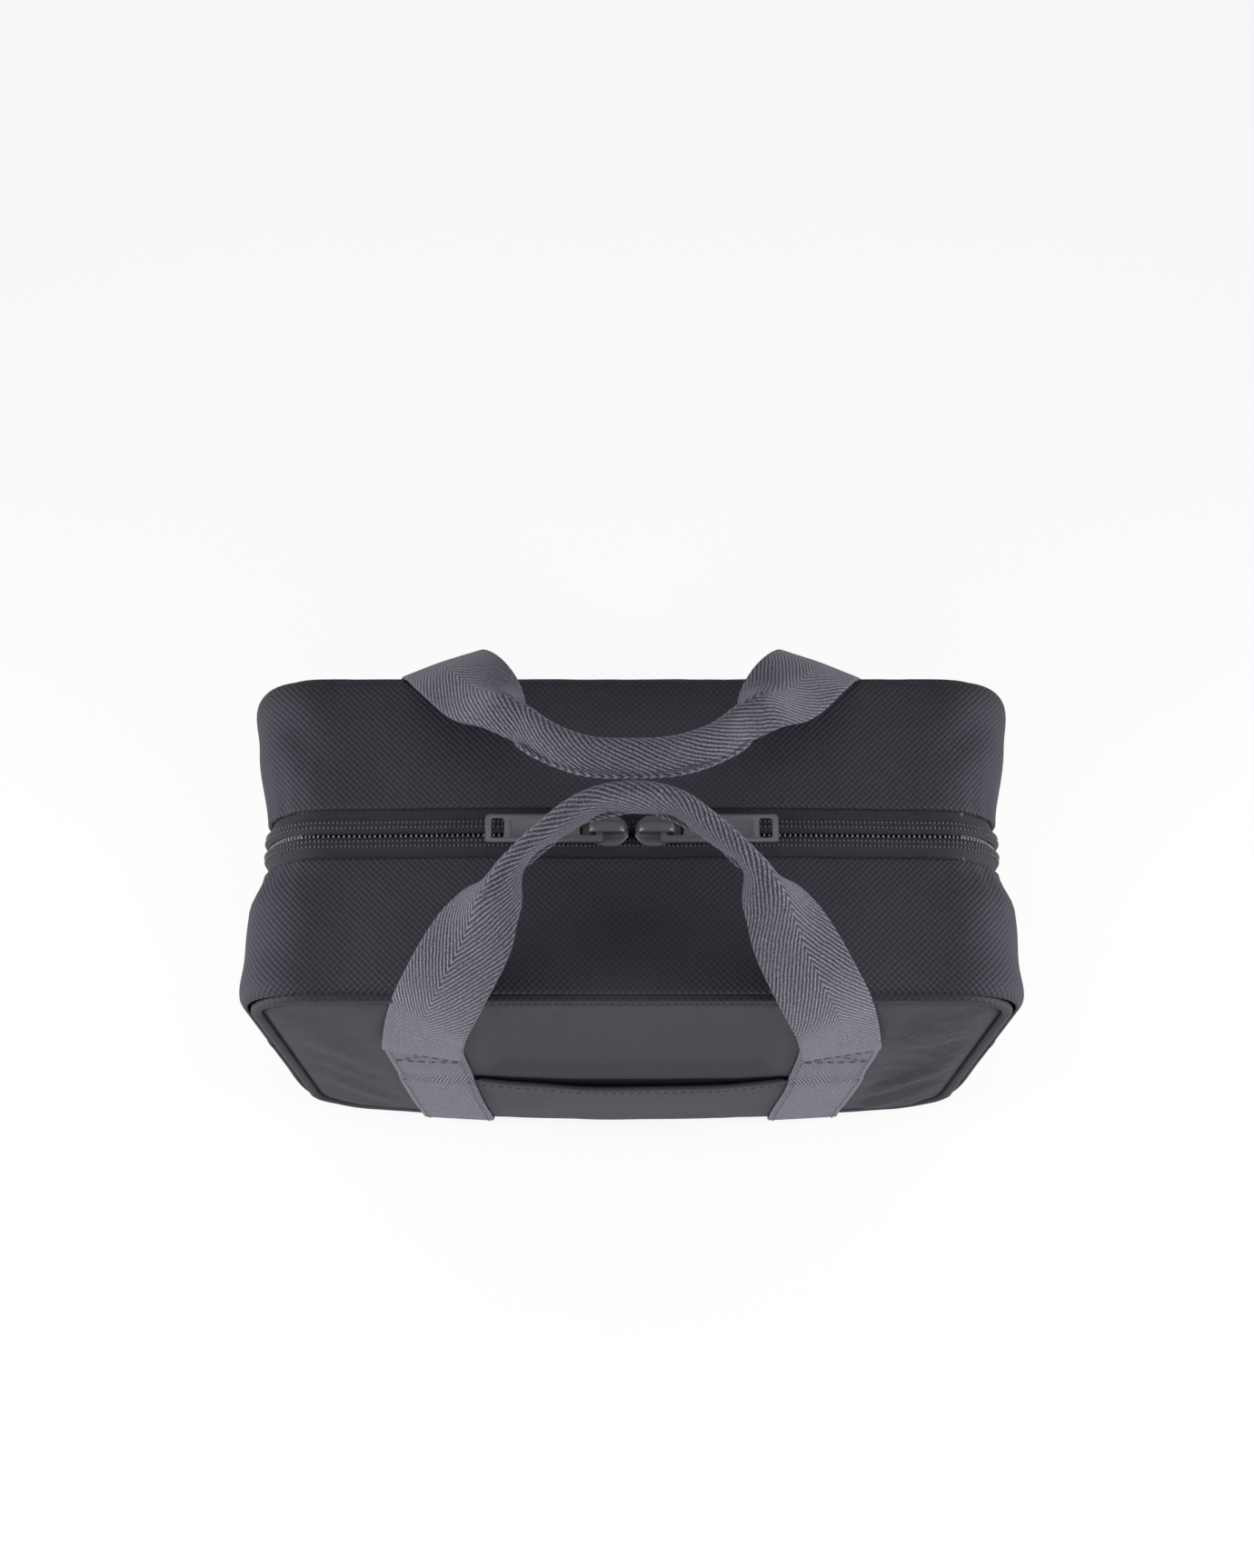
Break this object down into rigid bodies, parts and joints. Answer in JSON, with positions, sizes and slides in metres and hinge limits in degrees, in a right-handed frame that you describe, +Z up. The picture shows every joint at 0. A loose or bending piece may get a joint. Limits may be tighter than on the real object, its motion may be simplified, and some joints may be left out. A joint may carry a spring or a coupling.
{
  "type": "shaving kit bag",
  "caption": "Boxy soft wash bag with piped front and back panels, a two-slider zip over the top, a front slip pocket and webbing handles",
  "frame": {"origin": "bottom centre of the bag, on the surface it stands on", "axes": "+X to the right seen from the front, the front faces -Y, +Z up"},
  "size_m": [0.2796, 0.1402, 0.2472],
  "materials": {
    "shell": "matt coated canvas with a fine even grain, anthracite",
    "piping": "the same coated canvas folded over a cord, and as a folded binding",
    "webbing": "herringbone twill webbing, blue grey, semi-matt",
    "zip_tape": "woven zip tape, near black",
    "zip_coil": "nylon coil with stitched edges, near black",
    "zip_metal": "die-cast, matt dark grey paint",
    "lining": "plain-woven lining, dark grey",
    "foam": "closed-cell foam sheet, matt",
    "board": "stiff base board, matt"
  },
  "bodies": {
    "bag_body": {"front_panel": "shell", "back_panel": "shell", "front_piping": "piping", "back_piping": "piping", "base_panel": "shell", "base_board": "board", "left_side_panel": "shell", "right_side_panel": "shell", "front_foam_pad": "foam", "back_foam_pad": "foam", "left_side_foam_pad": "foam", "right_side_foam_pad": "foam", "main_lining": "lining", "front_pocket_panel": "shell", "pocket_mouth_binding": "piping", "front_left_strap_leg": "webbing", "front_right_strap_leg": "webbing", "back_left_strap_leg": "webbing", "back_right_strap_leg": "webbing", "left_side_zip_tape": "zip_tape", "left_side_zip_coil": "zip_coil", "right_side_zip_tape": "zip_tape", "right_side_zip_coil": "zip_coil"},
    "front_flap": {"front_top_panel": "shell", "front_top_lining": "lining", "front_zip_tape": "zip_tape", "front_zip_coil": "zip_coil"},
    "back_flap": {"back_top_panel": "shell", "back_top_lining": "lining", "back_zip_tape": "zip_tape", "back_zip_coil": "zip_coil"},
    "left_slider": {"left_slider_body": "zip_metal", "left_slider_bridge": "zip_metal"},
    "right_slider": {"right_slider_body": "zip_metal", "right_slider_bridge": "zip_metal"},
    "left_tab": {"left_pull_tab": "zip_metal"},
    "right_tab": {"right_pull_tab": "zip_metal"},
    "front_handle": {"front_handle_webbing": "webbing"},
    "back_handle": {"back_handle_webbing": "webbing"}
  },
  "joints": [
    {"name": "front_flap_hinge", "type": "hinge", "parent": "bag_body", "child": "front_flap", "pos_m": [0, -0.0561, 0.1896], "axis": [1, 0, 0], "range_deg": [0, 34], "deforming": ["front_zip_coil"]},
    {"name": "back_flap_hinge", "type": "hinge", "parent": "bag_body", "child": "back_flap", "pos_m": [0, 0.0561, 0.1896], "axis": [-1, 0, 0], "range_deg": [0, 34], "deforming": ["back_zip_coil"]},
    {"name": "left_slider_slide", "type": "slide", "parent": "bag_body", "child": "left_slider", "axis": [-1, 0, 0], "range_m": [0, 0.0885]},
    {"name": "right_slider_slide", "type": "slide", "parent": "bag_body", "child": "right_slider", "axis": [1, 0, 0], "range_m": [0, 0.0885]},
    {"name": "left_tab_flip", "type": "hinge", "parent": "left_slider", "child": "left_tab", "pos_m": [-0.0115, 0, 0.1925], "axis": [0, 1, 0], "range_deg": [0, 70]},
    {"name": "right_tab_flip", "type": "hinge", "parent": "right_slider", "child": "right_tab", "pos_m": [0.0115, 0, 0.1925], "axis": [0, -1, 0], "range_deg": [0, 70]},
    {"name": "front_handle_swing", "type": "hinge", "parent": "bag_body", "child": "front_handle", "pos_m": [0, -0.0674, 0.133], "axis": [1, 0, 0], "range_deg": [0, 150]},
    {"name": "back_handle_swing", "type": "hinge", "parent": "bag_body", "child": "back_handle", "pos_m": [0, 0.0674, 0.133], "axis": [-1, 0, 0], "range_deg": [0, 150]}
  ],
  "couplings": [
    {"joint": "back_flap_hinge", "follows": "front_flap_hinge", "ratio": 1},
    {"joint": "left_slider_slide", "follows": "front_flap_hinge", "m_per_rad": 0.14829},
    {"joint": "right_slider_slide", "follows": "front_flap_hinge", "m_per_rad": 0.14829}
  ]
}
